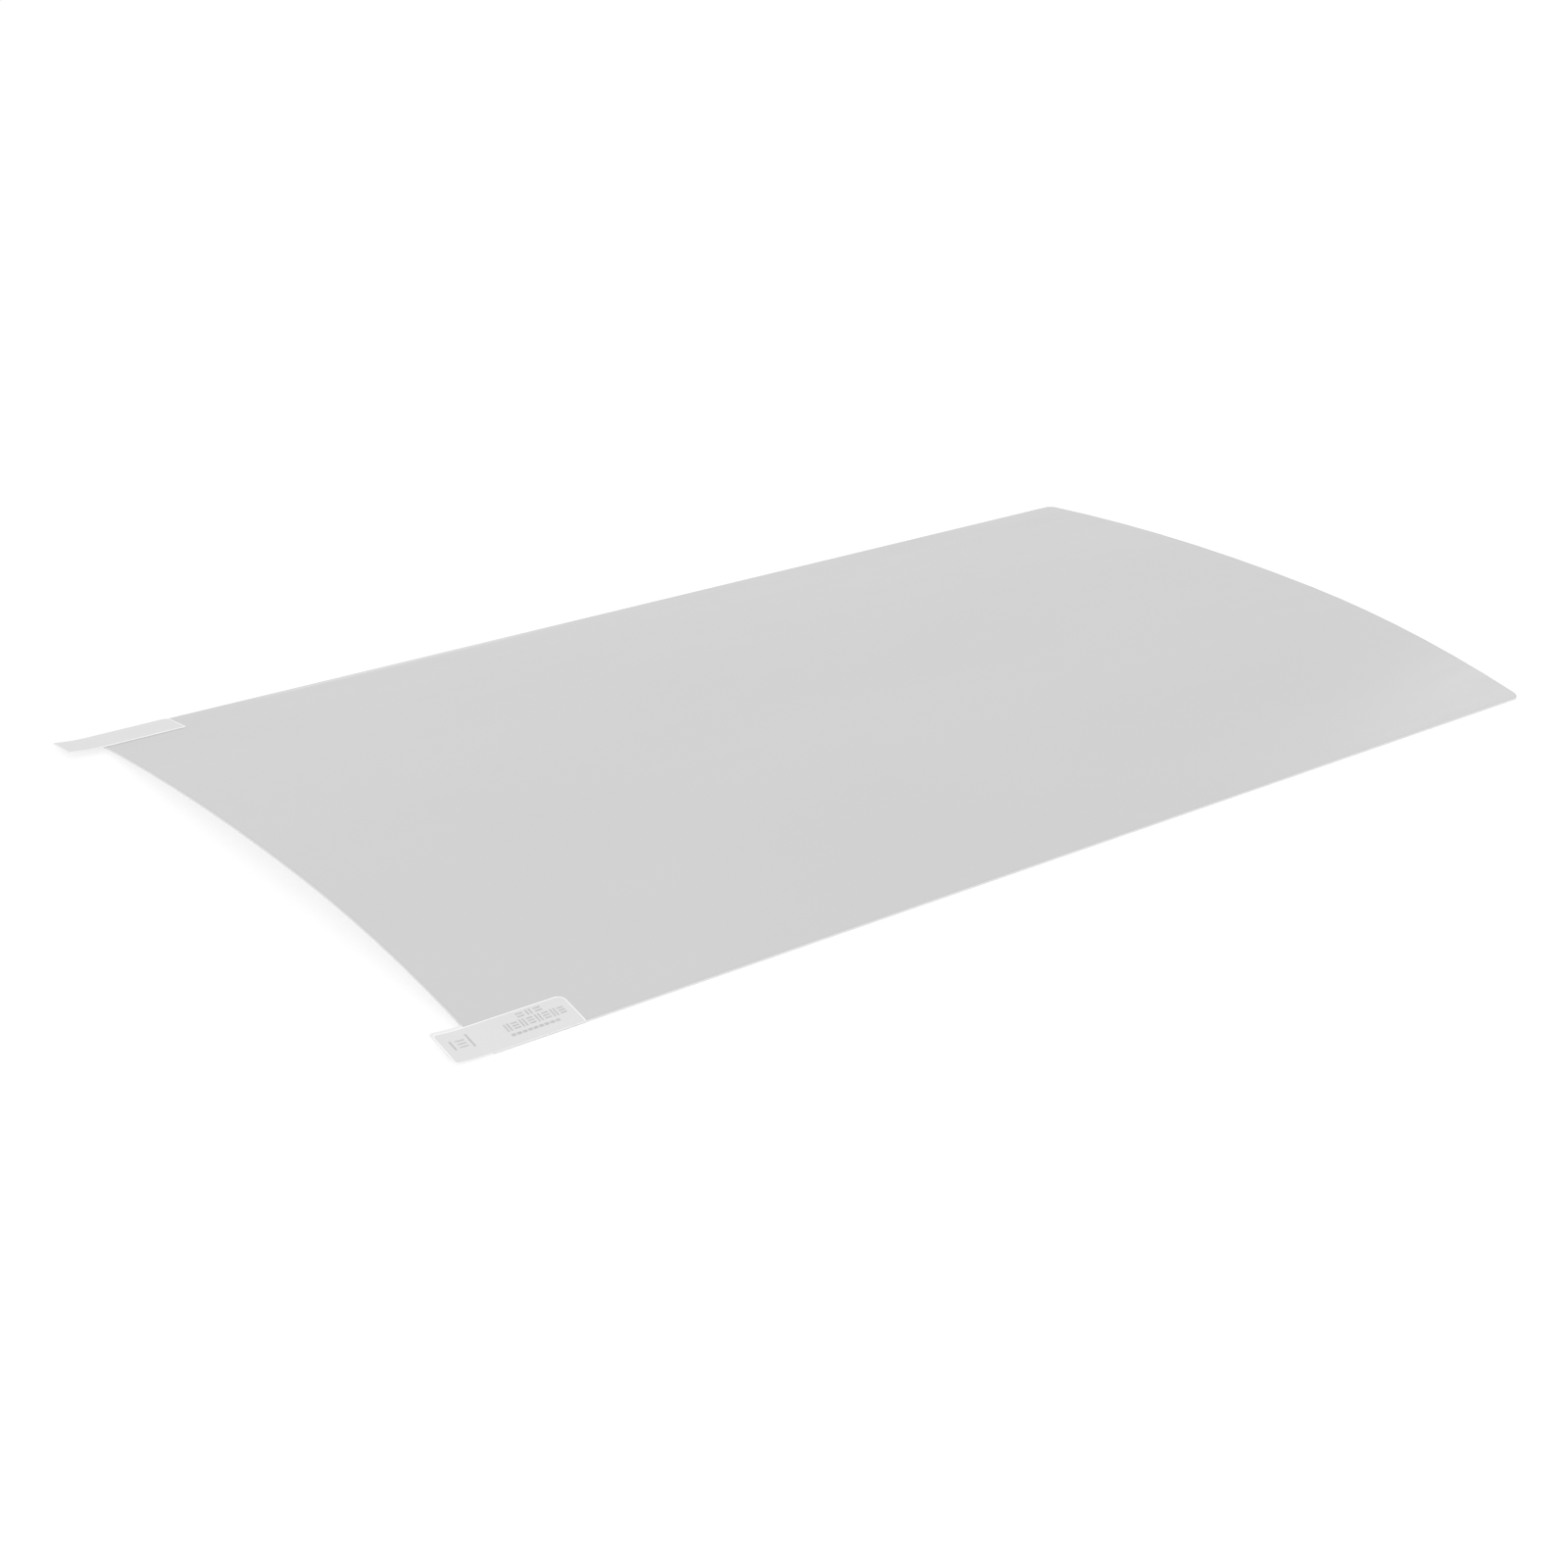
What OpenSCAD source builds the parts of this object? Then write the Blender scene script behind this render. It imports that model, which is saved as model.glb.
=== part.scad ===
// Screen protector for a laptop: a laminate of three films with two pull tabs at its left end.
// The sheet lies as it comes to rest, bowed upwards across its width and standing on its two long
// edges. X runs along the screen, Y from the near edge to the far edge, and Z is up. The origin is
// at the middle of the bounding box, on the surface that the sheet rests on.

/* [Sheet] */
// Length of the sheet along the screen
film_length = 344; // [220:1:420]
// Width of the sheet across the screen, measured flat
film_width = 194; // [140:1:260]
// Radius of the four corners of the sheet
film_corner = 2.5; // [0.5:0.1:8]

/* [Layers] */
// Thickness of the liner under the adhesive face
liner_thickness = 0.1; // [0.05:0.01:0.25]
// Thickness of the protective film with its adhesive
screen_film_thickness = 0.25; // [0.1:0.01:0.5]
// Thickness of the masking film on the outer face
mask_thickness = 0.08; // [0.04:0.01:0.2]

/* [Bow] */
// Height of the underside at the crest of the bow
bow_rise = 7.8; // [2:0.1:16]
// Distance from the near edge to the crest, measured along the film
near_run = 79.5; // [50:0.5:100]

/* [Pull tabs] */
// Length of a pull tab
tab_length = 32.6; // [24:0.1:50]
// Thickness of a pull tab with its adhesive
tab_thickness = 0.12; // [0.06:0.01:0.3]
// Radius of the two corners at the free end of a pull tab
tab_free_corner = 1.2; // [0.2:0.1:2.9]
// Radius of the near corner at the stuck end of a pull tab
tab_near_corner = 0.4; // [0.2:0.1:2.9]
// Radius of the far corner at the stuck end of a pull tab
tab_far_corner = 2; // [0.2:0.1:2.9]

/* [Near tab] */
// Width of the near tab
near_tab_width = 9.8; // [6:0.1:16]
// How far the near tab reaches past the left end of the sheet
near_tab_overhang = 8; // [4:0.1:14]
// How far the near tab reaches past the near edge of the sheet
near_tab_edge_reach = 0.1; // [0.1:0.1:2]
// Angle at which the near tab was stuck down, seen from above
near_tab_skew = -0.3; // [-1.5:0.1:1.5]
// Bend radius of the free end of the near tab
near_tab_bend = 52; // [25:1:400]
// Thickness of the ply under the free end of the near tab
backing_thickness = 0.08; // [0.04:0.01:0.2]
// How far the ply shows past the far side of the near tab
backing_side_margin = 0.9; // [0.3:0.1:2]
// How far the ply shows past the left end of the near tab
backing_end_margin = 0.3; // [0.1:0.1:2]

/* [Far tab] */
// Width of the far tab
far_tab_width = 11; // [6:0.1:16]
// How far the far tab reaches past the left end of the sheet
far_tab_overhang = 9.8; // [4:0.1:14]
// How far the far tab reaches past the far edge of the sheet
far_tab_edge_reach = 0.3; // [0.1:0.1:2]
// Angle at which the far tab was stuck down, seen from above
far_tab_skew = 0.4; // [-1.5:0.1:1.5]
// Bend radius of the free end of the far tab
far_tab_bend = 60; // [25:1:400]

/* [Hidden] */
// Facets of a full turn: of the corners and bends, and of the two arcs across the sheet
$fn = 128;
bow_facets = 720;

// Degrees in one radian
radian = 180 / PI;
// Substitutions that settle the turn of an arc
turn_steps = 40;
// Turn, in radians, of an arc of a known length that drops by a known height
function arc_turn(run, drop, turn = 0.1, steps = turn_steps) =
    steps == 0 ? turn
    : arc_turn(run, drop, 2 * asin(sqrt(drop * turn / run / 2)) / radian, steps - 1);

// The bow is two arcs that share their crest and meet there without a kink
far_run = film_width - near_run;
near_turn = arc_turn(near_run, bow_rise);
far_turn = arc_turn(far_run, bow_rise);
near_radius = near_run / near_turn;
far_radius = far_run / far_turn;
near_reach = near_radius * sin(near_turn * radian);
far_reach = far_radius * sin(far_turn * radian);

// Where the sheet stands in the frame
end_x = (max(near_tab_overhang + backing_end_margin, far_tab_overhang) - film_length) / 2;
near_y = -(near_reach + far_reach) / 2;
far_y = -near_y;
crest_y = near_y + near_reach;

// Heights of the faces of the layers above the underside
film_base = liner_thickness;
mask_base = film_base + screen_film_thickness;
stack = mask_base + mask_thickness;

// Radii of the corners of the sheet and of a tab, from the near left one round
film_corners = [film_corner, film_corner, film_corner, film_corner];
tab_corners = [tab_free_corner, tab_near_corner, tab_far_corner, tab_free_corner];

// Extra length by which a cutting shape passes what it cuts
pass = 5;
// Height of a cutting shape that takes in the whole bow and the lifted ends of the tabs
cut_height = bow_rise + stack + 4 * pass;
// Turn of a bent band, more than a tab needs at its tightest bend
bend_turn = 60;
// Width that a band needs beyond a straight tab, so that it takes in a turned one
skew_margin = 2;

// Height of the underside at a distance from the crest, on the arc of this radius
function arc_height(radius, distance) =
    bow_rise - radius + sqrt(radius * radius - distance * distance);

// Upright block with a rounded outline, from its near left corner. The radii of its corners go
// round from that one: near left, near right, far right, far left.
module rounded_block(length, width, radii) {
    centres = [
        [radii[0], radii[0]],
        [length - radii[1], radii[1]],
        [length - radii[2], width - radii[2]],
        [radii[3], width - radii[3]]
    ];
    translate([0, 0, -pass])
        linear_extrude(cut_height)
            union() {
                polygon([
                    [centres[0].x, 0], [centres[1].x, 0],
                    [length, centres[1].y], [length, centres[2].y],
                    [centres[2].x, width], [centres[3].x, width],
                    [0, centres[3].y], [0, centres[0].y]
                ]);
                for (i = [0:3])
                    translate(centres[i])
                        circle(radii[i]);
            }
}

// Section across the sheet between two heights above the underside, on one side of the crest
module half_section(radius, low, high, reach, side) {
    intersection() {
        translate([crest_y, bow_rise - radius])
            difference() {
                circle(radius + high, $fn = bow_facets);
                circle(radius + low, $fn = bow_facets);
            }
        translate([side > 0 ? crest_y : crest_y - reach - pass, -pass])
            square([reach + pass, cut_height]);
    }
}

// Section across the whole sheet between two heights above the underside
module bow_section(low, high) {
    half_section(near_radius, low, high, near_reach, -1);
    half_section(far_radius, low, high, far_reach, 1);
}

// Part of the section between two places across the sheet
module band_section(low, high, from_y, to_y) {
    intersection() {
        bow_section(low, high);
        translate([from_y, -pass])
            square([to_y - from_y, cut_height]);
    }
}

// Extrudes a section along the sheet, from its left end
module along_sheet(length) {
    translate([end_x, 0, 0])
        rotate([90, 0, 90])
            linear_extrude(length)
                children();
}

// One layer of the sheet, cut to its outline
module layer(low, high) {
    intersection() {
        along_sheet(film_length)
            bow_section(low, high);
        translate([end_x, near_y, 0])
            rounded_block(film_length, near_reach + far_reach, film_corners);
    }
}

// Part of a band past the left end of the sheet, bent upwards round an axis along Y
module past_sheet(axis_z) {
    translate([end_x, 0, axis_z])
        rotate([-90, 90, 0])
            rotate_extrude(angle = bend_turn)
                translate([axis_z, 0])
                    rotate(90)
                        children();
}

// Band that lies on the sheet and bends upwards past its left end
module lifted_band(low, high, from_y, to_y, axis_z) {
    along_sheet(tab_length)
        band_section(low, high, from_y, to_y);
    past_sheet(axis_z)
        band_section(low, high, from_y, to_y);
}

// Outline of a label over the left end of the sheet, turned about one of its corners there
module tab_outline(corner_y, skew, overhang, width) {
    translate([end_x, corner_y, 0])
        rotate(skew)
            translate([-overhang, 0, 0])
                rounded_block(tab_length, width, tab_corners);
}

// Places of the tabs across the sheet, and the heights of the axes that their free ends bend round
near_tab_y = near_y - near_tab_edge_reach;
near_tab_middle = near_tab_y + near_tab_width / 2;
near_axis_z = arc_height(near_radius, crest_y - near_tab_middle) + stack + near_tab_bend;
near_band_y = near_tab_y - skew_margin;
near_band_end = near_tab_y + near_tab_width + backing_side_margin + skew_margin;
far_tab_y = far_y + far_tab_edge_reach - far_tab_width;
far_tab_middle = far_tab_y + far_tab_width / 2;
far_axis_z = arc_height(far_radius, far_tab_middle - crest_y) + stack + far_tab_bend;
far_band_y = far_tab_y - skew_margin;
far_band_end = far_tab_y + far_tab_width + skew_margin;

module release_liner() {
    color("gainsboro")
        layer(0, film_base);
}

module screen_film() {
    color("silver")
        layer(film_base, mask_base);
}

module top_mask() {
    color("lightgray")
        layer(mask_base, stack);
}

module near_pull_tab() {
    color("gainsboro")
        intersection() {
            lifted_band(stack, stack + tab_thickness, near_band_y, near_band_end, near_axis_z);
            tab_outline(near_tab_y, near_tab_skew, near_tab_overhang, near_tab_width);
        }
}

module near_tab_backing() {
    overhang = near_tab_overhang + backing_end_margin;
    color("whitesmoke")
        intersection() {
            past_sheet(near_axis_z)
                band_section(stack - backing_thickness, stack, near_band_y, near_band_end);
            tab_outline(near_tab_y + backing_side_margin, near_tab_skew, overhang, near_tab_width);
        }
}

module far_pull_tab() {
    color("gainsboro")
        intersection() {
            lifted_band(stack, stack + tab_thickness, far_band_y, far_band_end, far_axis_z);
            tab_outline(far_tab_y, far_tab_skew, far_tab_overhang, far_tab_width);
        }
}

release_liner();
screen_film();
top_mask();
near_pull_tab();
near_tab_backing();
far_pull_tab();
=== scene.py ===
"""Looks of a laptop screen protector: three bonded films and two pull tabs, in metres."""

import math

import bpy
from mathutils import Matrix, Vector

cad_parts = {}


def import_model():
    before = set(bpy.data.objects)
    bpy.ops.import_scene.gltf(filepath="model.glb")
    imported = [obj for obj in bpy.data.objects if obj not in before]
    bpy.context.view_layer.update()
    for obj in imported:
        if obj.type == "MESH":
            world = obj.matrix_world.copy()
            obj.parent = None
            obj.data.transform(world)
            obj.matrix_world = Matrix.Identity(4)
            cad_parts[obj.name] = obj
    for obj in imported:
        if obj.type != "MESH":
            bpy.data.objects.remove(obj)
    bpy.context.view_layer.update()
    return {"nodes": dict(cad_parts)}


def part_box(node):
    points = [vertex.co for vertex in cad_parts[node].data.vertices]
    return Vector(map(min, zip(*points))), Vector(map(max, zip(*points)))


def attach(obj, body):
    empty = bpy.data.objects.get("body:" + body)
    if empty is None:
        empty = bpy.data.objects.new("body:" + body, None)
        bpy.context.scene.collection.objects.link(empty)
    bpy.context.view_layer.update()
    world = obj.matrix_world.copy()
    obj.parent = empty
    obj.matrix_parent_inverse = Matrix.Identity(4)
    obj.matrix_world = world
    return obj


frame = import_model()

MM = 0.001

# Sheet, in millimetres: its outline and the height of its films come from the frame, and the
# rest is as the solids have it. The run is the length of film from the near edge to the crest.
SHEET_LOWEST, SHEET_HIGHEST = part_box("top_mask")
END_X = SHEET_LOWEST.x / MM
FAR_END_X = SHEET_HIGHEST.x / MM
EDGE_Y = SHEET_HIGHEST.y / MM
SHEET_CORNER = 2.5
RISE = 7.8
STACK = SHEET_HIGHEST.z / MM - RISE
NEAR_RUN = 79.5
FIRST_TURN = 0.1
TURN_STEPS = 40


def arc_turn(run, drop):
    """Turn in radians of an arc of a known length and drop, settled by substitution."""
    turn = FIRST_TURN
    for _ in range(TURN_STEPS):
        turn = 2 * math.asin(math.sqrt(drop * turn / run / 2))
    return turn


NEAR_TURN = arc_turn(NEAR_RUN, RISE)
NEAR_RADIUS = NEAR_RUN / NEAR_TURN
CREST_Y = NEAR_RADIUS * math.sin(NEAR_TURN) - EDGE_Y

# Pull tabs, in millimetres and degrees, as the solids have them. Each passes the sheet's long
# edge a little, and y is where its near left corner stands over the sheet's end.
TAB_LENGTH = 32.6
TAB_THICKNESS = 0.12
FREE_CORNER = 1.2
NEAR_CORNER = 0.4
FAR_CORNER = 2.0
NEAR_PAST_EDGE = 0.1
FAR_PAST_EDGE = 0.3
NEAR_WIDTH = 9.8
FAR_WIDTH = 11.0
NEAR_BEND = 52.0
NEAR_Y = -EDGE_Y - NEAR_PAST_EDGE
FAR_Y = EDGE_Y + FAR_PAST_EDGE - FAR_WIDTH
NEAR_TAB = {"y": NEAR_Y, "skew": -0.3, "overhang": 8.0, "width": NEAR_WIDTH}
FAR_TAB = {"y": FAR_Y, "skew": 0.4, "overhang": 9.8, "width": FAR_WIDTH}


# Node helpers

def new_material(name):
    """A material, its node tree and its shader."""
    mat = bpy.data.materials.new(name)
    mat.use_nodes = True
    tree = mat.node_tree
    tree.nodes.clear()
    out = tree.nodes.new("ShaderNodeOutputMaterial")
    bsdf = tree.nodes.new("ShaderNodeBsdfPrincipled")
    tree.links.new(bsdf.outputs["BSDF"], out.inputs["Surface"])
    return mat, tree, bsdf


def plug(tree, value, socket):
    """Links an output to a socket, or sets the socket to a number or a colour."""
    if isinstance(value, bpy.types.NodeSocket):
        tree.links.new(value, socket)
    elif isinstance(value, tuple):
        socket.default_value = (*value, 1.0)
    else:
        socket.default_value = value


def math_node(tree, operation, a, b=0.0, c=0.0):
    """The result of a sum on outputs or numbers."""
    node = tree.nodes.new("ShaderNodeMath")
    node.operation = operation
    for value, socket in zip((a, b, c), node.inputs):
        plug(tree, value, socket)
    return node.outputs[0]


def ramp(tree, value, low, high, out_low=0.0, out_high=1.0):
    """Goes smoothly from one level to another while the value goes from low to high."""
    node = tree.nodes.new("ShaderNodeMapRange")
    node.interpolation_type = "SMOOTHSTEP"
    plug(tree, value, node.inputs["Value"])
    node.inputs["From Min"].default_value = low
    node.inputs["From Max"].default_value = high
    node.inputs["To Min"].default_value = out_low
    node.inputs["To Max"].default_value = out_high
    return node.outputs["Result"]


def fade(tree, distance, limits):
    """Goes from 0 to 1 while a distance goes from one limit to the other, in millimetres."""
    start, end = limits
    return ramp(tree, distance, start * MM, end * MM)


def mix(tree, factor, a, b):
    """Mixes two colours, each an output or three numbers."""
    node = tree.nodes.new("ShaderNodeMix")
    node.data_type = "RGBA"
    plug(tree, factor, node.inputs["Factor"])
    plug(tree, a, node.inputs[6])
    plug(tree, b, node.inputs[7])
    return node.outputs[2]


def tint(tree, tone, factor, colour, share):
    """Lays a share of a colour over a tone where a factor is 1."""
    return mix(tree, math_node(tree, "MULTIPLY", factor, share), tone, colour)


def object_place(tree):
    """The place on the object, in metres, and the way its surface faces."""
    node = tree.nodes.new("ShaderNodeTexCoord")
    return node.outputs["Object"], node.outputs["Normal"]


def parts(tree, vector):
    """The x, y and z of a vector."""
    node = tree.nodes.new("ShaderNodeSeparateXYZ")
    tree.links.new(vector, node.inputs[0])
    return node.outputs


def squeezed(tree, vector, x=1.0, y=1.0):
    """A place whose noise is finer along x or y by a factor, or coarser under 1."""
    node = tree.nodes.new("ShaderNodeMapping")
    tree.links.new(vector, node.inputs["Vector"])
    node.inputs["Scale"].default_value = (x, y, 1.0)
    return node.outputs["Vector"]


def noise(tree, vector, scale, detail, roughness=0.5):
    """Noise of a scale per metre."""
    node = tree.nodes.new("ShaderNodeTexNoise")
    tree.links.new(vector, node.inputs["Vector"])
    node.inputs["Scale"].default_value = scale
    node.inputs["Detail"].default_value = detail
    node.inputs["Roughness"].default_value = roughness
    return node.outputs["Fac"]


def bump(tree, height, depth, strength):
    """Normal of a bumpy surface of a depth in millimetres."""
    node = tree.nodes.new("ShaderNodeBump")
    tree.links.new(height, node.inputs["Height"])
    node.inputs["Distance"].default_value = depth * MM
    node.inputs["Strength"].default_value = strength
    return node.outputs["Normal"]


# Outlines of the sheet and the tabs

# How upright the faces point that count as cut faces, and as broad ones
CUT_TO_BROAD = (0.35, 0.75)


def inside_outline(tree, x, y, half, corner):
    """Distance in metres from the edge of a rounded rectangle round 0, 0: more inside."""
    reach = []
    for value, size in ((x, half[0]), (y, half[1])):
        away = math_node(tree, "ABSOLUTE", value)
        past = math_node(tree, "SUBTRACT", away, size)
        reach.append(math_node(tree, "ADD", past, corner))
    outer = [math_node(tree, "MAXIMUM", r, 0.0) for r in reach]
    squares = [math_node(tree, "MULTIPLY", r, r) for r in outer]
    length = math_node(tree, "SQRT", math_node(tree, "ADD", *squares))
    inner = math_node(tree, "MINIMUM", math_node(tree, "MAXIMUM", *reach), 0.0)
    outside = math_node(tree, "ADD", length, inner)
    return math_node(tree, "SUBTRACT", corner, outside)


def on_tab(tree, place, tab):
    """Place on a tab, along and across it from its middle, seen from above."""
    turn = math.radians(tab["skew"])
    along = TAB_LENGTH / 2 - tab["overhang"]
    across = tab["width"] / 2
    node = tree.nodes.new("ShaderNodeMapping")
    node.vector_type = "TEXTURE"
    tree.links.new(place, node.inputs["Vector"])
    node.inputs["Location"].default_value = (
        (END_X + along * math.cos(turn) - across * math.sin(turn)) * MM,
        (tab["y"] + along * math.sin(turn) + across * math.cos(turn)) * MM,
        0,
    )
    node.inputs["Rotation"].default_value = (0, 0, turn)
    x, y, _ = parts(tree, node.outputs["Vector"])
    return x, y


def tab_outline(tree, x, y, tab):
    """Distance in metres inside the outline of a tab, whose corners have three radii."""
    far_side = math_node(tree, "GREATER_THAN", y, 0.0)
    stuck_end = math_node(tree, "GREATER_THAN", x, 0.0)
    to_far = (FAR_CORNER - NEAR_CORNER) * MM
    stuck = math_node(tree, "MULTIPLY_ADD", far_side, to_far, NEAR_CORNER * MM)
    from_free = math_node(tree, "SUBTRACT", stuck, FREE_CORNER * MM)
    corner = math_node(tree, "MULTIPLY_ADD", from_free, stuck_end, FREE_CORNER * MM)
    return inside_outline(tree, x, y, (TAB_LENGTH / 2 * MM, tab["width"] / 2 * MM), corner)


def sheet_outline(tree, place):
    """Distance in metres inside the outline of the sheet."""
    x, y, _ = parts(tree, place)
    from_middle = math_node(tree, "SUBTRACT", x, (END_X + FAR_END_X) / 2 * MM)
    half = ((FAR_END_X - END_X) / 2 * MM, EDGE_Y * MM)
    return inside_outline(tree, from_middle, y, half, SHEET_CORNER * MM)


def cut_edge(tree, facing):
    """1 on the thin faces round the edge of a film, 0 on its broad faces."""
    upright = math_node(tree, "ABSOLUTE", parts(tree, facing)[2])
    return ramp(tree, upright, *CUT_TO_BROAD, 1.0, 0.0)


# Materials: widths and places in millimetres

def grey(level):
    """A grey, as three numbers."""
    return (level, level, level)


# Nearly all the values of a noise lie between these
NOISE_SPAN = (0.3, 0.7)

# Tones and roughness of the films
MASK = grey(0.628)
MASK_LOW = grey(0.618)
# Painted highlight on the masking film's cut faces and just inside the sheet's edge
MASK_EDGE_HIGHLIGHT = grey(0.88)
MASK_ROUGH = (0.28, 0.34)
MASK_RUB_SPAN = (0.25, 0.8)
WAVES_TO_GRAIN = 6.0
# Painted shade, for the lines round the tabs and inside the sheet's edge
SHADE = grey(0.59)
# Painted highlight on the clear film's cut faces
FILM_EDGE_HIGHLIGHT = grey(0.86)
LINER = (0.7, 0.705, 0.71)
# Painted highlight on the cut faces of the liner and of the tabs' backing
LINER_EDGE_HIGHLIGHT = grey(0.95)
BACKING = grey(0.88)
FILM_LOW_SHARE = 0.975
SMEAR_SPAN = (0.3, 0.75)
SMEAR_ROUGH = 0.08

# Painted highlight, a light band on the far edge: where it comes in across the sheet, and starts and
# ends along it
PAINTED_GLINT = grey(0.75)
GLINT_ACROSS = (93.5, 96.4)
GLINT_START = (-128, -104)
GLINT_END = (-12, -48)

# Painted shade line round a tab: the distances inside the tab's outline at which it comes in from
# each side
LINE_FROM_SHEET = (-0.5, -0.1)
LINE_FROM_TAB = (0.05, -0.1)
LINE_SHARE = 0.25

# Sheet's edge: the distances inside it between which painted shade darkens it, and then a painted
# highlight turns it light
EDGE_PAINTED_SHADE = (0.9, 0.25)
EDGE_PAINTED_SHADE_SHARE = 0.45
EDGE_PAINTED_HIGHLIGHT = (0.22, 0.05)
EDGE_PAINTED_HIGHLIGHT_SHARE = 0.4

# Tones and roughness of the tabs and of the print
LABEL_NEAR = 0.76
LABEL_FAR = 0.785
LABEL_DRIFT = 0.01
# Painted highlight round the tabs' rims and on their cut faces
LABEL_RIM_HIGHLIGHT = grey(0.96)
LABEL_ROUGH = (0.5, 0.6)
RIM_HIGHLIGHT_CORE = 0.6
INK = grey(0.53)
INK_WORN = grey(0.6)
INK_SPAN = (0.35, 0.7)
INK_ROUGH = (0.42, 0.55)


def far_edge_painted_glint(tree, place):
    """A painted highlight: a soft light band on the far edge near the far tab."""
    x, y, _ = parts(tree, place)
    ends = math_node(tree, "MULTIPLY", fade(tree, x, GLINT_START), fade(tree, x, GLINT_END))
    return math_node(tree, "MULTIPLY", fade(tree, y, GLINT_ACROSS), ends)


def painted_shade_round_tab(tree, place, tab):
    """A thin line of painted shade on the sheet just outside a tab's outline, standing in for the
    tab's edge shading it.
    """
    depth = tab_outline(tree, *on_tab(tree, place, tab), tab)
    outer = fade(tree, depth, LINE_FROM_SHEET)
    inner = fade(tree, depth, LINE_FROM_TAB)
    return math_node(tree, "MULTIPLY", outer, inner)


def masking_tone(tree, place, facing):
    """Faint drifts of grey, painted shade lines round the tabs, a painted highlight on the far edge,
    and painted shade and highlight at the sheet's edge and on its cut faces.
    """
    drift = noise(tree, squeezed(tree, place, y=2.2), scale=7.0, detail=2.0)
    tone = mix(tree, ramp(tree, drift, *NOISE_SPAN), MASK_LOW, MASK)
    for tab in (NEAR_TAB, FAR_TAB):
        # Painted shade round each tab
        tone = tint(tree, tone, painted_shade_round_tab(tree, place, tab), SHADE, LINE_SHARE)
    # Painted highlight on the far edge
    tone = mix(tree, far_edge_painted_glint(tree, place), tone, PAINTED_GLINT)
    depth = sheet_outline(tree, place)
    # Painted shade and then a painted highlight just inside the sheet's edge
    tone = tint(tree, tone, fade(tree, depth, EDGE_PAINTED_SHADE), SHADE, EDGE_PAINTED_SHADE_SHARE)
    tone = tint(tree, tone, fade(tree, depth, EDGE_PAINTED_HIGHLIGHT), MASK_EDGE_HIGHLIGHT, EDGE_PAINTED_HIGHLIGHT_SHARE)
    # Painted highlight on the cut faces
    return mix(tree, cut_edge(tree, facing), tone, MASK_EDGE_HIGHLIGHT)


def masking_film():
    """Frosted masking film with a fine even grain, slight waves and a faint rubbed sheen."""
    mat, tree, bsdf = new_material("frosted_masking_film")
    place, facing = object_place(tree)
    tree.links.new(masking_tone(tree, place, facing), bsdf.inputs["Base Color"])
    rub = noise(tree, squeezed(tree, place, y=7.0), scale=22.0, detail=4.0, roughness=0.65)
    tree.links.new(ramp(tree, rub, *MASK_RUB_SPAN, *MASK_ROUGH), bsdf.inputs["Roughness"])
    grain = noise(tree, place, scale=2600.0, detail=4.0, roughness=0.6)
    waves = noise(tree, squeezed(tree, place, x=0.5, y=1.4), scale=16.0, detail=1.0)
    height = math_node(tree, "MULTIPLY_ADD", waves, WAVES_TO_GRAIN, grain)
    tree.links.new(bump(tree, height, depth=0.006, strength=0.35), bsdf.inputs["Normal"])
    return mat


def plain_film(name, broad, edge_highlight, smooth):
    """Smooth film: broad faces of one tone with faint waves, and cut edges in a painted highlight.
    """
    mat, tree, bsdf = new_material(name)
    place, facing = object_place(tree)
    drift = noise(tree, place, scale=9.0, detail=2.0)
    deeper = tuple(FILM_LOW_SHARE * c for c in broad)
    tone = mix(tree, ramp(tree, drift, *NOISE_SPAN), deeper, broad)
    # Painted highlight on the cut faces
    tone = mix(tree, cut_edge(tree, facing), tone, edge_highlight)
    tree.links.new(tone, bsdf.inputs["Base Color"])
    smear = noise(tree, squeezed(tree, place, x=3.0), scale=30.0, detail=4.0, roughness=0.6)
    rough = ramp(tree, smear, *SMEAR_SPAN, smooth, smooth + SMEAR_ROUGH)
    tree.links.new(rough, bsdf.inputs["Roughness"])
    waves = noise(tree, squeezed(tree, place, x=0.6, y=1.5), scale=24.0, detail=2.0)
    tree.links.new(bump(tree, waves, depth=0.05, strength=0.3), bsdf.inputs["Normal"])
    return mat


def label_film(name, tab, level, rim_highlight, near_rim_highlight):
    """Matt label film of one level with a fine tooth, and a painted highlight in place of a bright
    rim, of one width round three sides and of another along its near side, also on the cut faces."""
    mat, tree, bsdf = new_material(name)
    place, facing = object_place(tree)
    drift = noise(tree, place, scale=60.0, detail=2.0)
    tone = mix(tree, ramp(tree, drift, *NOISE_SPAN), grey(level - LABEL_DRIFT), grey(level))
    x, y = on_tab(tree, place, tab)
    from_near = math_node(tree, "ADD", y, tab["width"] / 2 * MM)
    three_sides = tab_outline(tree, x, from_near, {**tab, "width": 2 * tab["width"]})
    # Painted highlight along the tab's rim and on its cut faces
    for reach, width in ((three_sides, rim_highlight), (from_near, near_rim_highlight)):
        tone = mix(tree, fade(tree, reach, (width, RIM_HIGHLIGHT_CORE * width)), tone, LABEL_RIM_HIGHLIGHT)
    tone = mix(tree, cut_edge(tree, facing), tone, LABEL_RIM_HIGHLIGHT)
    tree.links.new(tone, bsdf.inputs["Base Color"])
    tooth = noise(tree, place, scale=3200.0, detail=4.0, roughness=0.6)
    tree.links.new(ramp(tree, tooth, *NOISE_SPAN, *LABEL_ROUGH), bsdf.inputs["Roughness"])
    tree.links.new(bump(tree, tooth, depth=0.008, strength=0.4), bsdf.inputs["Normal"])
    return mat


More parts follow.
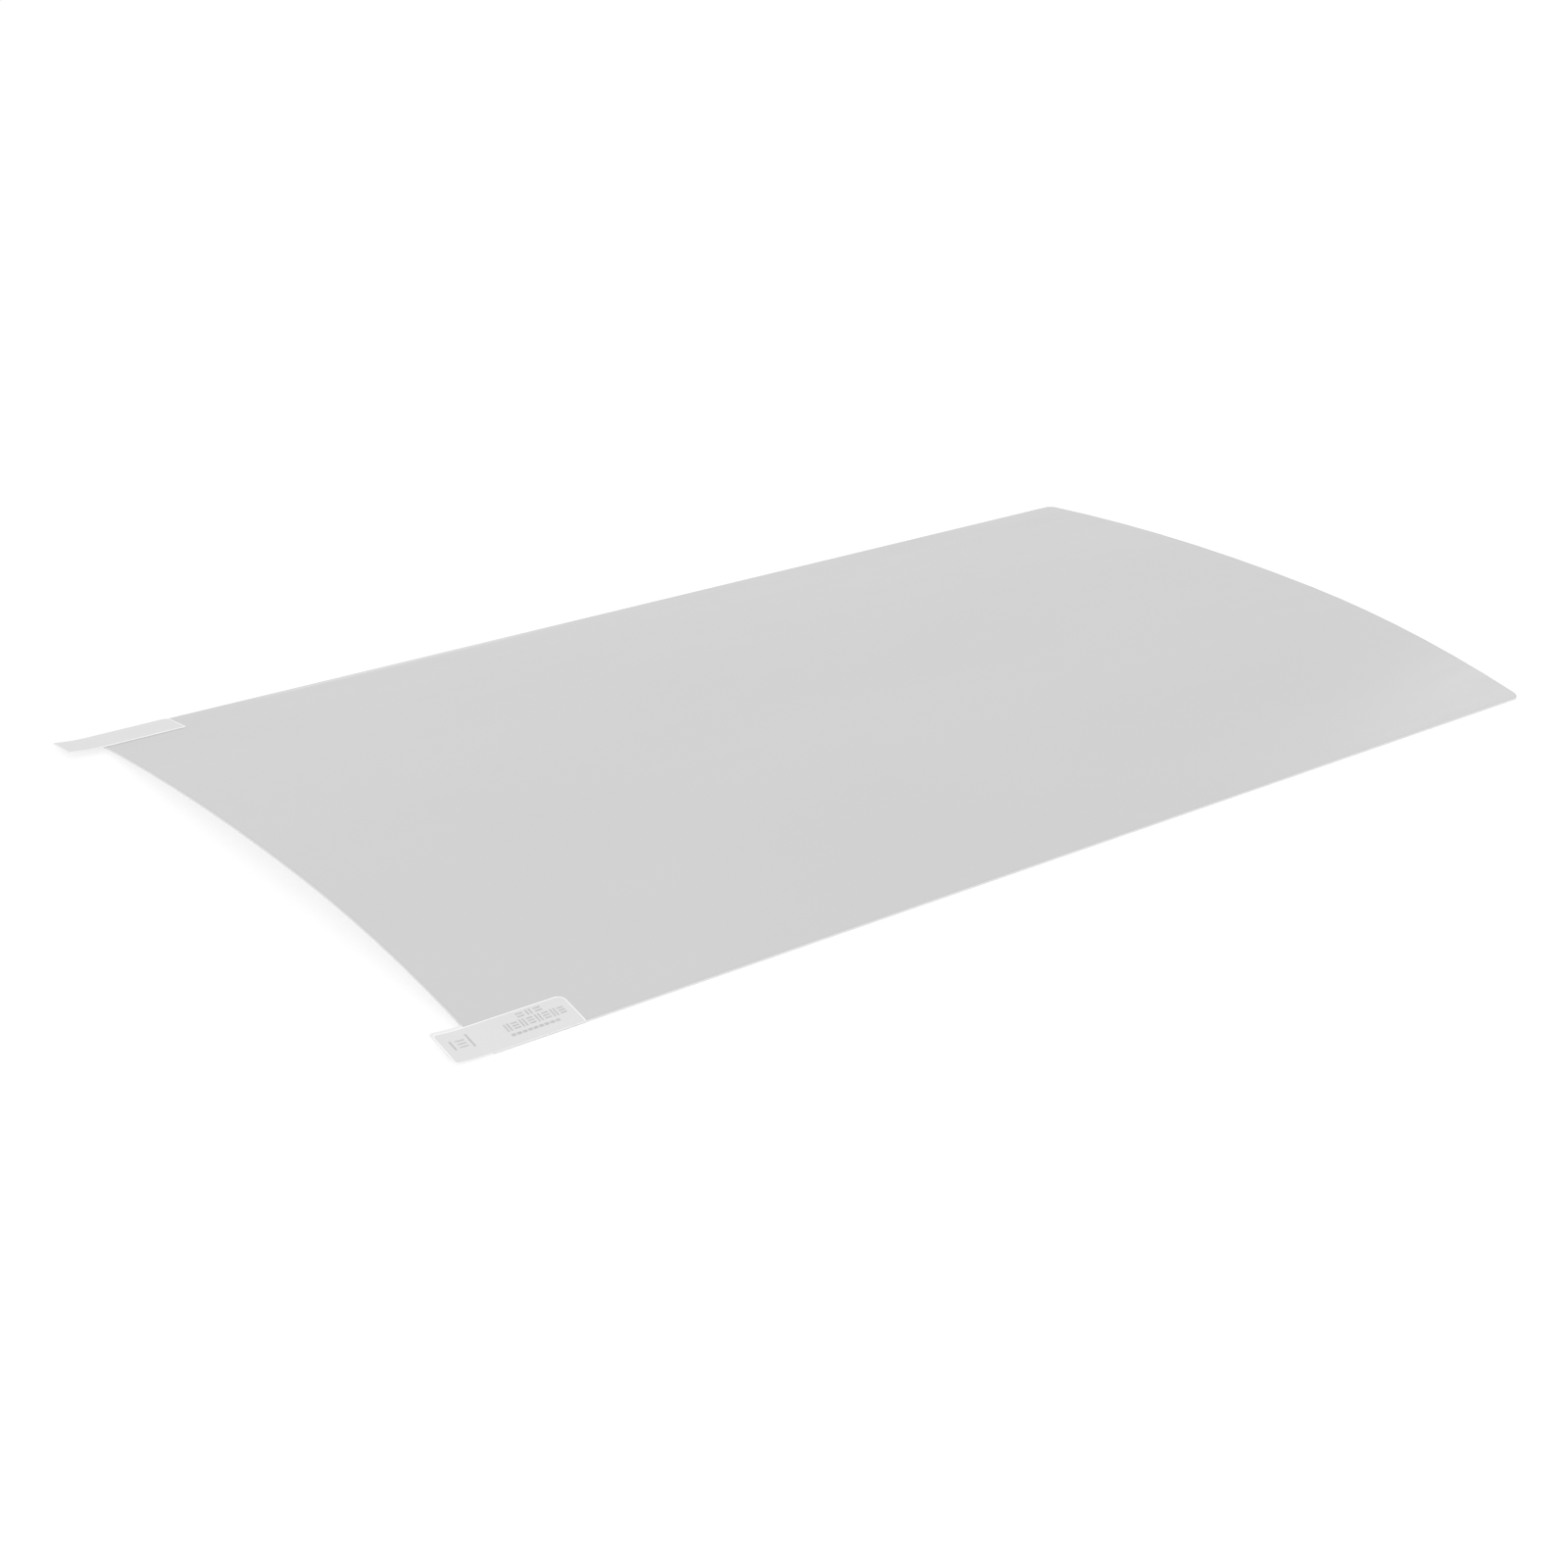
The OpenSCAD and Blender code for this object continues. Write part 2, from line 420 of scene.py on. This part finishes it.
def printing_ink():
    """Grey ink, a little uneven where it was laid down."""
    mat, tree, bsdf = new_material("grey_printing_ink")
    place, _ = object_place(tree)
    patches = noise(tree, place, scale=1500.0, detail=3.0, roughness=0.6)
    tone = mix(tree, ramp(tree, patches, *INK_SPAN), INK, INK_WORN)
    tree.links.new(tone, bsdf.inputs["Base Color"])
    tree.links.new(ramp(tree, patches, *NOISE_SPAN, *INK_ROUGH), bsdf.inputs["Roughness"])
    tree.links.new(bump(tree, patches, depth=0.004, strength=0.3), bsdf.inputs["Normal"])
    return mat


def dress(node, material):
    """Gives a CAD node its material."""
    thing = frame["nodes"][node]
    thing.data.materials.clear()
    thing.data.materials.append(material)


# Print on the near tab: plain blocks, in millimetres along the tab from its left end and across
# it from its near side. A block is its left end, right end, near side and far side.

INK_PROUD = 0.012
INK_SUNK = 0.03
BLOCK_CORNER = 0.12
SIDE_TO_CORNER = 2.2
CORNER_STEPS = 3
GAP_SHARE = 0.48
FEWEST_BARS = 2
HEADING = {"start": 19.9, "pitch": 2.25, "count": 3, "length": 1.75, "near": 7.1, "far": 8.9}
BODY = {"start": 15.4, "pitch": 1.94, "count": 8, "length": 1.65, "near": 4.2, "far": 6.7}
SMALL_ROW = {"start": 15.6, "pitch": 1.38, "count": 9, "length": 1.1, "near": 2.6, "far": 3.35}
BADGE_SIDES = [(2.3, 2.8, 3.7, 6.7), (6.7, 7.2, 3.4, 7.7)]
BADGE_ENDS = (3.7, 5.9)
BADGE_BARS = (4.1, 5.1, 6.1)
BADGE_BAR_WIDTH = 0.35


def bow_height(y, above):
    """Height on the near slope of the bow, for a face this far above the underside."""
    return RISE - NEAR_RADIUS + math.sqrt((NEAR_RADIUS + above) ** 2 - (y - CREST_Y) ** 2)


def tab_top(along, across, lift):
    """A point on the near tab's upper face, lifted by a height, in metres."""
    turn = math.radians(NEAR_TAB["skew"])
    from_end = along - NEAR_TAB["overhang"]
    x = END_X + from_end * math.cos(turn) - across * math.sin(turn)
    y = NEAR_TAB["y"] + from_end * math.sin(turn) + across * math.cos(turn)
    z = bow_height(y, STACK + TAB_THICKNESS + lift)
    if x < END_X:
        axis_z = bow_height(NEAR_TAB["y"] + NEAR_TAB["width"] / 2, 0) + STACK + NEAR_BEND
        z = axis_z - math.sqrt((axis_z - z) ** 2 - (END_X - x) ** 2)
    return Vector((x * MM, y * MM, z * MM))


def block_outline(block):
    """Outline of a block, whose rounded corners stay small beside its shorter sides."""
    left, right, near, far = block
    corner = min(BLOCK_CORNER, min(right - left, far - near) / SIDE_TO_CORNER)
    points = []
    for middle_a, middle_b, start in (
        (right - corner, near + corner, -90),
        (right - corner, far - corner, 0),
        (left + corner, far - corner, 90),
        (left + corner, near + corner, 180),
    ):
        for step in range(CORNER_STEPS + 1):
            angle = math.radians(start + 90 * step / CORNER_STEPS)
            points.append((middle_a + corner * math.cos(angle), middle_b + corner * math.sin(angle)))
    return points


def bars(block, count, along):
    """A block made of even bars with gaps between them, which run along or across the tab."""
    left, right, near, far = block
    made = []
    for i in range(count):
        low, high = (i + GAP_SHARE / 2) / count, (i + 1 - GAP_SHARE / 2) / count
        if along:
            made.append((left, right, near + low * (far - near), near + high * (far - near)))
        else:
            made.append((left + low * (right - left), left + high * (right - left), near, far))
    return made


def row_blocks(row):
    """The blocks of a row, side by side along the tab."""
    starts = [row["start"] + row["pitch"] * i for i in range(row["count"])]
    return [(start, start + row["length"], row["near"], row["far"]) for start in starts]


def print_blocks():
    """Two rows of blocks of plain bars, a row of small blocks, and a badge of bars."""
    made = []
    for i, block in enumerate(row_blocks(HEADING)):
        made += bars(block, FEWEST_BARS, i % 2 == 0)
    for i, block in enumerate(row_blocks(BODY)):
        made += bars(block, FEWEST_BARS + i % 2, i % 2 == 1)
    made += row_blocks(SMALL_ROW)
    made += BADGE_SIDES
    made += [(*BADGE_ENDS, near, near + BADGE_BAR_WIDTH) for near in BADGE_BARS]
    return made


def near_tab_print():
    """All the blocks as one mesh of thin closed slabs that follow the tab."""
    verts, faces = [], []
    for block in print_blocks():
        outline = block_outline(block)
        first, count = len(verts), len(outline)
        verts += [tab_top(a, b, INK_PROUD) for a, b in outline]
        verts += [tab_top(a, b, -INK_SUNK) for a, b in outline]
        faces.append([first + i for i in range(count)])
        faces.append([first + count + i for i in reversed(range(count))])
        for i in range(count):
            j = (i + 1) % count
            faces.append([first + j, first + i, first + count + i, first + count + j])
    mesh = bpy.data.meshes.new("near_tab_print")
    mesh.from_pydata(verts, [], faces)
    mesh.materials.append(printing_ink())
    mesh.update()
    thing = bpy.data.objects.new("near_tab_print", mesh)
    bpy.context.scene.collection.objects.link(thing)
    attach(thing, "root")


# Stage, in metres. The floor is lit as pale grey for the object, and seen nearly white.

WHITE = (1.0, 1.0, 1.0, 1.0)
FLOOR_HALF = 6.0
FLOOR_TONE = (0.8, 0.8, 0.8, 1.0)
SEEN_TONE = (0.22, 0.22, 0.22, 1.0)
SEEN_LIGHT = 0.835
WORLD_LIGHT = 0.78

# Camera, in millimetres and degrees, found by fitting the sheet's outline to the photograph
CAMERA_PLACE = (-417.2, -496.8, 284.3)
CAMERA_AZIMUTH = -39.2017
CAMERA_ELEVATION = 25.0626
CAMERA_ROLL = 2.3428
LENS_OF_FRAME = 60.075
SENSOR = 36.0
CLIP_START = 0.01
CLIP_END = 50


def seen_ray(tree):
    """1 for the rays that show the stage itself: camera, mirror-like and see-through ones."""
    path = tree.nodes.new("ShaderNodeLightPath")
    camera_or_glossy = math_node(
        tree, "MAXIMUM", path.outputs["Is Camera Ray"], path.outputs["Is Glossy Ray"])
    return math_node(tree, "MAXIMUM", camera_or_glossy, path.outputs["Is Transmission Ray"])


def diffuse(tree, colour):
    """A plain matt shader."""
    node = tree.nodes.new("ShaderNodeBsdfDiffuse")
    node.inputs["Color"].default_value = colour
    return node.outputs[0]


def floor_material():
    """Pale grey to the object's light, and near white where it is seen, shadow and all."""
    mat = bpy.data.materials.new("pale_floor")
    mat.use_nodes = True
    tree = mat.node_tree
    tree.nodes.clear()
    out = tree.nodes.new("ShaderNodeOutputMaterial")
    light = tree.nodes.new("ShaderNodeEmission")
    light.inputs["Color"].default_value = WHITE
    light.inputs["Strength"].default_value = SEEN_LIGHT
    seen = tree.nodes.new("ShaderNodeAddShader")
    tree.links.new(diffuse(tree, SEEN_TONE), seen.inputs[0])
    tree.links.new(light.outputs[0], seen.inputs[1])
    choose = tree.nodes.new("ShaderNodeMixShader")
    tree.links.new(seen_ray(tree), choose.inputs[0])
    tree.links.new(diffuse(tree, FLOOR_TONE), choose.inputs[1])
    tree.links.new(seen.outputs[0], choose.inputs[2])
    tree.links.new(choose.outputs[0], out.inputs["Surface"])
    return mat


def floor():
    """Pale floor at the height that the sheet rests on. It keeps the sheet's soft shadow."""
    mesh = bpy.data.meshes.new("floor")
    h = FLOOR_HALF
    mesh.from_pydata([(-h, -h, 0), (h, -h, 0), (h, h, 0), (-h, h, 0)], [], [(0, 1, 2, 3)])
    mesh.materials.append(floor_material())
    thing = bpy.data.objects.new("floor", mesh)
    bpy.context.scene.collection.objects.link(thing)


def world():
    """Even white light all round, and plain white where the stage itself is seen."""
    made = bpy.data.worlds.new("studio")
    bpy.context.scene.world = made
    made.use_nodes = True
    tree = made.node_tree
    tree.nodes.clear()
    out = tree.nodes.new("ShaderNodeOutputWorld")
    back = tree.nodes.new("ShaderNodeBackground")
    back.inputs["Color"].default_value = WHITE
    level = ramp(tree, seen_ray(tree), 0.0, 1.0, WORLD_LIGHT, 1.0)
    tree.links.new(level, back.inputs["Strength"])
    tree.links.new(back.outputs[0], out.inputs["Surface"])


def softbox(name, place, target, side, power):
    """A square lamp that shines from its place to a target."""
    data = bpy.data.lights.new(name, "AREA")
    data.shape = "SQUARE"
    data.size = side
    data.energy = power
    thing = bpy.data.objects.new(name, data)
    thing.location = place
    away = Vector(place) - Vector(target)
    thing.rotation_euler = away.to_track_quat("Z", "Y").to_euler()
    bpy.context.scene.collection.objects.link(thing)


def lights():
    """A large soft lamp over the near left, and a small one that lights the near right corner."""
    softbox("softbox_front", place=(-0.6, -0.6, 1.0), target=(0, 0, 0), side=1.0, power=4.4)
    softbox("softbox_corner", place=(0.936, 0.267, 0.536), target=(0.175, -0.1, 0), side=0.16,
            power=0.14)


def camera_turn():
    """The way the camera is turned, from its azimuth, elevation and roll."""
    azimuth, elevation = math.radians(CAMERA_AZIMUTH), math.radians(CAMERA_ELEVATION)
    back = Vector((
        math.sin(azimuth) * math.cos(elevation),
        -math.cos(azimuth) * math.cos(elevation),
        math.sin(elevation),
    ))
    level = Vector((math.cos(azimuth), math.sin(azimuth), 0))
    roll = math.radians(CAMERA_ROLL)
    right = level * math.cos(roll) + back.cross(level) * math.sin(roll)
    return Matrix((right, back.cross(right), back)).transposed()


def camera():
    """Camera at the photograph's place, angle and roll."""
    data = bpy.data.cameras.new("camera")
    data.sensor_fit = "AUTO"
    data.sensor_width = SENSOR
    data.lens = LENS_OF_FRAME
    data.clip_start = CLIP_START
    data.clip_end = CLIP_END
    thing = bpy.data.objects.new("camera", data)
    thing.matrix_world = Matrix.Translation(Vector(CAMERA_PLACE) * MM) @ camera_turn().to_4x4()
    bpy.context.scene.collection.objects.link(thing)
    bpy.context.scene.camera = thing


camera()
world()
lights()
floor()
dress("top_mask", masking_film())
dress("screen_film", plain_film("clear_film", MASK, FILM_EDGE_HIGHLIGHT, smooth=0.25))
dress("release_liner", plain_film("liner_film", LINER, LINER_EDGE_HIGHLIGHT, smooth=0.14))
dress("near_pull_tab", label_film("near_label_film", NEAR_TAB, LABEL_NEAR, rim_highlight=0.35, near_rim_highlight=0.12))
dress("far_pull_tab", label_film("far_label_film", FAR_TAB, LABEL_FAR, rim_highlight=0.45, near_rim_highlight=0.95))
dress("near_tab_backing", plain_film("backing_film", BACKING, LINER_EDGE_HIGHLIGHT, smooth=0.4))
near_tab_print()

bpy.context.scene.view_settings.view_transform = "Standard"
